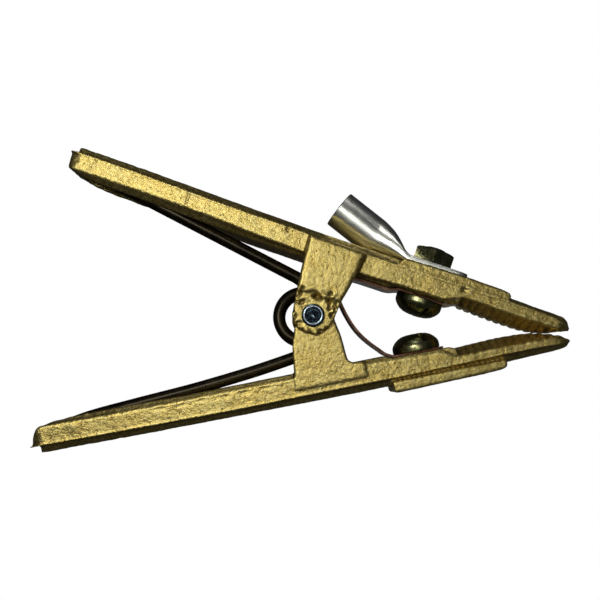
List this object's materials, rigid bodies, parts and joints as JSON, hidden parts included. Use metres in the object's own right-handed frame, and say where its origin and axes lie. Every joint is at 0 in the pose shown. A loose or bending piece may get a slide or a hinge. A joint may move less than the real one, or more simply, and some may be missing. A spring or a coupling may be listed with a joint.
{
  "type": "spring ground clamp",
  "caption": "Spring-loaded welding ground clamp: two cast brass arms on a riveted pivot with torsion spring, crimp cable lug and copper shunt strap.",
  "frame": {"origin": "centre of the clamp's outside box with the jaws closed; the pivot axis is parallel to Y at x = 1.64 mm, z = 0", "axes": "+X toward the jaws along the bisector of the two arms, Y along the pivot axis, +Z toward the arm that carries the cable lug; jaws closed"},
  "size_m": [0.1764, 0.0299, 0.1031],
  "materials": {
    "cast_brass": "sand cast",
    "rivet_zinc": "zinc plated",
    "spring_steel": "oiled dark",
    "tinned_copper": "tin plated",
    "yellow_zinc": "yellow zinc, dark",
    "shunt_copper": "oxidised copper"
  },
  "bodies": {
    "lower": {"lower_arm": "cast_brass", "shunt_screw": "yellow_zinc", "shunt_leaf_outer": "shunt_copper", "shunt_leaf_middle": "shunt_copper", "shunt_leaf_inner": "shunt_copper", "torsion_spring": "spring_steel"},
    "upper": {"upper_arm": "cast_brass", "pivot_rivet": "rivet_zinc", "cable_lug": "tinned_copper", "lug_bolt": "yellow_zinc", "lug_nut": "yellow_zinc"}
  },
  "joints": [
    {"name": "jaw_hinge", "type": "hinge", "parent": "lower", "child": "upper", "pos_m": [0.00164, 0, 0], "axis": [0, -1, 0], "range_deg": [0, 35], "stiffness_Nm_per_rad": 2, "springref_deg": -57.3, "deforming": ["torsion_spring", "shunt_leaf_outer", "shunt_leaf_middle", "shunt_leaf_inner"]}
  ]
}
